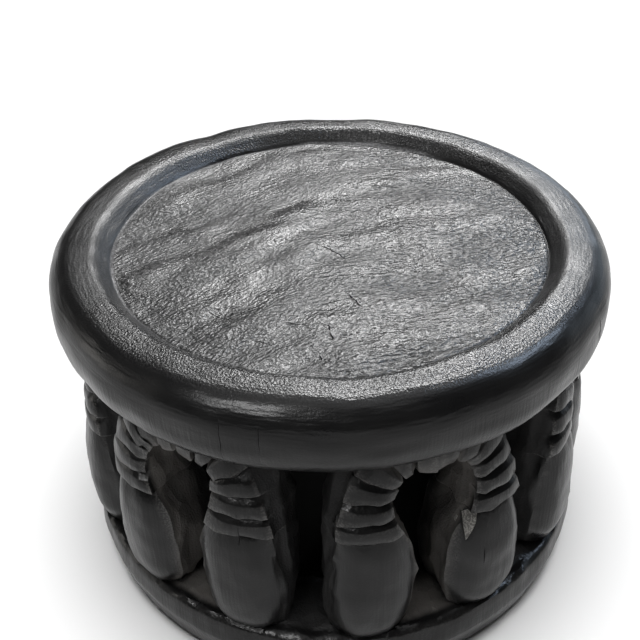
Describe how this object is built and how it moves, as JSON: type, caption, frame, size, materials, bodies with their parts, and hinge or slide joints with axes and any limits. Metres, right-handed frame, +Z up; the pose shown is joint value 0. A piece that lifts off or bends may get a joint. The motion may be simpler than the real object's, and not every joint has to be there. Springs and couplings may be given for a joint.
{
  "type": "carved wooden stool",
  "caption": "Round stool carved from one block: thick dished seat on a ring of ribbed arches with swelling limbs, open inside, on a base ring, in black satin wood.",
  "frame": {"origin": "on the ground, under the middle of the seat", "axes": "+Z up; -Y towards the camera of the picture, +X to its right"},
  "size_m": [0.46, 0.46, 0.3],
  "materials": {
    "dark_wood": "satin, stained near black and oiled, worn lighter on the rim and on the edges of the ribs"
  },
  "bodies": {
    "root": {"carved_stool": "dark_wood"}
  },
  "joints": []
}
